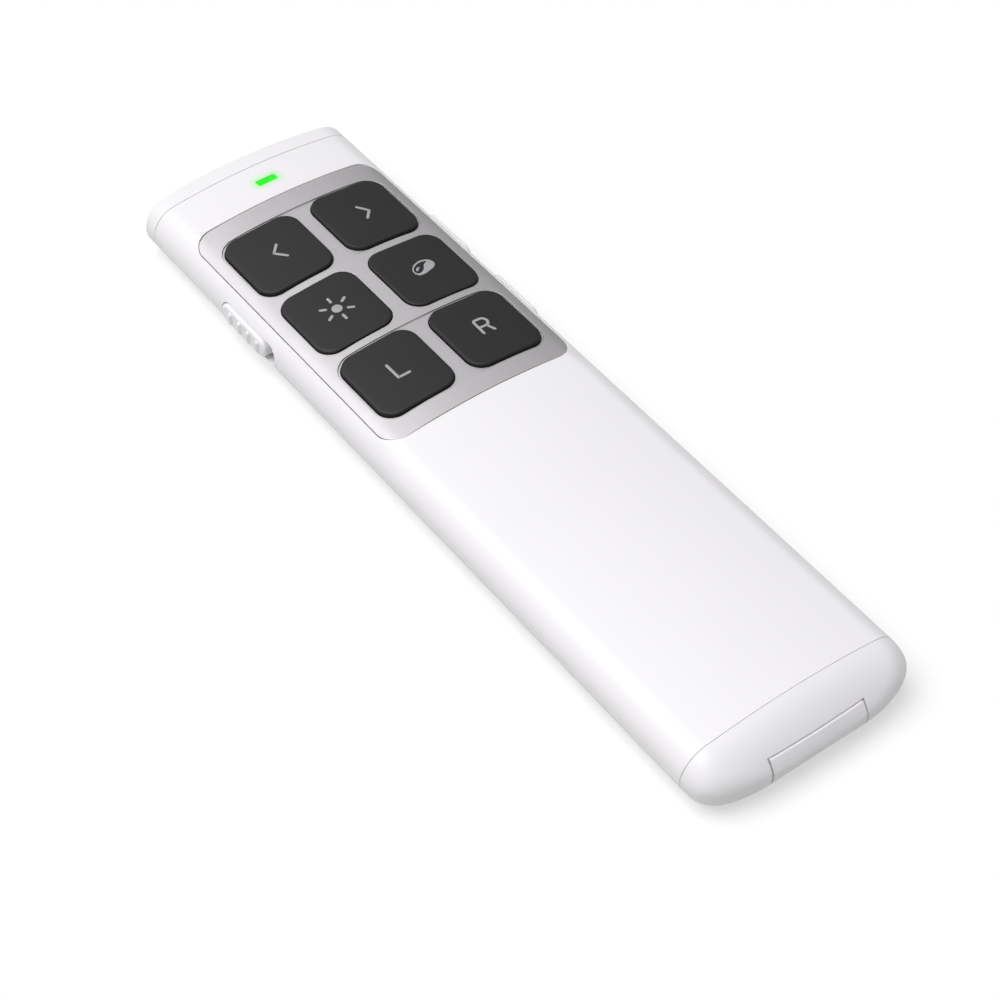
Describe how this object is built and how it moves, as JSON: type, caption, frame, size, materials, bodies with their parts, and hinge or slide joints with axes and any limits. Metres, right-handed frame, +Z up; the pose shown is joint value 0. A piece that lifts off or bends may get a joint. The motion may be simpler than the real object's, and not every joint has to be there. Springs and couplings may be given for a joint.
{
  "type": "wireless presentation clicker",
  "caption": "Slim white hand-held presentation remote with a silver key panel, dark square keys, side slider and side keys, laser front and a receiver parked in the tail.",
  "frame": {"origin": "on the flat underside, midway along the casing, on its centre plane", "axes": "+Y along the casing towards the laser end, +X to the right seen from above with the laser end away, +Z up out of the keys"},
  "size_m": [0.0364, 0.1324, 0.0103],
  "materials": {
    "white_abs": "satin",
    "panel_satin_silver": "satin",
    "key_dark": "matte",
    "black_nylon": "matte",
    "steel": "satin",
    "screw_steel": "satin",
    "circuit_board": "satin",
    "chip_epoxy": "matte",
    "ceramic_white": "matte",
    "led_body": "gloss",
    "light_green": "gloss",
    "brass": "satin",
    "gold_plate": "gloss",
    "lens_glass": "gloss",
    "window_red": "gloss",
    "lead_red": "satin",
    "foil_pouch": "satin",
    "foam_tape": "matte"
  },
  "bodies": {
    "casing": {"top_shell": "white_abs", "bottom_shell": "white_abs", "front_cap": "white_abs", "tail_cap": "white_abs", "key_panel": "panel_satin_silver", "key_switch_bodies": "steel", "side_switch_bodies": "steel", "power_switch_body": "steel", "main_board": "circuit_board", "radio_chip": "chip_epoxy", "radio_crystal": "steel", "chip_antenna": "ceramic_white", "motion_sensor": "chip_epoxy", "charge_chip": "chip_epoxy", "status_led": "led_body", "light_pipe": "light_green", "laser_barrel": "brass", "laser_diode": "steel", "laser_lens": "lens_glass", "laser_leads": "lead_red", "laser_window": "window_red", "charging_socket_shell": "steel", "charging_socket_tongue": "black_nylon", "battery_cell": "foil_pouch", "battery_tape": "foam_tape", "battery_board": "circuit_board", "battery_leads": "lead_red", "case_screws": "screw_steel", "board_screws": "screw_steel"},
    "key_previous_body": {"key_previous": "key_dark", "stem_previous": "black_nylon"},
    "key_next_body": {"key_next": "key_dark", "stem_next": "black_nylon"},
    "key_highlight_body": {"key_highlight": "key_dark", "stem_highlight": "black_nylon"},
    "key_screen_body": {"key_screen": "key_dark", "stem_screen": "black_nylon"},
    "key_left_body": {"key_left": "key_dark", "stem_left": "black_nylon"},
    "key_right_body": {"key_right": "key_dark", "stem_right": "black_nylon"},
    "side_key_front_body": {"side_key_front": "white_abs", "side_stem_front": "black_nylon"},
    "side_key_rear_body": {"side_key_rear": "white_abs", "side_stem_rear": "black_nylon"},
    "power_slider_body": {"power_slider": "white_abs", "power_switch_lever": "black_nylon"},
    "receiver": {"receiver_grip": "white_abs", "receiver_plug_shell": "steel", "receiver_tongue": "black_nylon", "receiver_contacts": "gold_plate"}
  },
  "joints": [
    {"name": "key_previous_press", "type": "slide", "parent": "casing", "child": "key_previous_body", "axis": [0, 0, -1], "range_m": [0, 0.0003], "stiffness_N_per_m": 300, "springref_m": -0.0004},
    {"name": "key_next_press", "type": "slide", "parent": "casing", "child": "key_next_body", "axis": [0, 0, -1], "range_m": [0, 0.0003], "stiffness_N_per_m": 300, "springref_m": -0.0004},
    {"name": "key_highlight_press", "type": "slide", "parent": "casing", "child": "key_highlight_body", "axis": [0, 0, -1], "range_m": [0, 0.0003], "stiffness_N_per_m": 300, "springref_m": -0.0004},
    {"name": "key_screen_press", "type": "slide", "parent": "casing", "child": "key_screen_body", "axis": [0, 0, -1], "range_m": [0, 0.0003], "stiffness_N_per_m": 300, "springref_m": -0.0004},
    {"name": "key_left_press", "type": "slide", "parent": "casing", "child": "key_left_body", "axis": [0, 0, -1], "range_m": [0, 0.0003], "stiffness_N_per_m": 300, "springref_m": -0.0004},
    {"name": "key_right_press", "type": "slide", "parent": "casing", "child": "key_right_body", "axis": [0, 0, -1], "range_m": [0, 0.0003], "stiffness_N_per_m": 300, "springref_m": -0.0004},
    {"name": "side_key_front_press", "type": "slide", "parent": "casing", "child": "side_key_front_body", "axis": [-1, 0, 0], "range_m": [0, 0.0003], "stiffness_N_per_m": 300, "springref_m": -0.0004},
    {"name": "side_key_rear_press", "type": "slide", "parent": "casing", "child": "side_key_rear_body", "axis": [-1, 0, 0], "range_m": [0, 0.0003], "stiffness_N_per_m": 300, "springref_m": -0.0004},
    {"name": "power_slide", "type": "slide", "parent": "casing", "child": "power_slider_body", "axis": [0, -1, 0], "range_m": [0, 0.0022]},
    {"name": "receiver_pull", "type": "slide", "parent": "casing", "child": "receiver", "axis": [0, -1, 0], "range_m": [0, 0.023]}
  ]
}
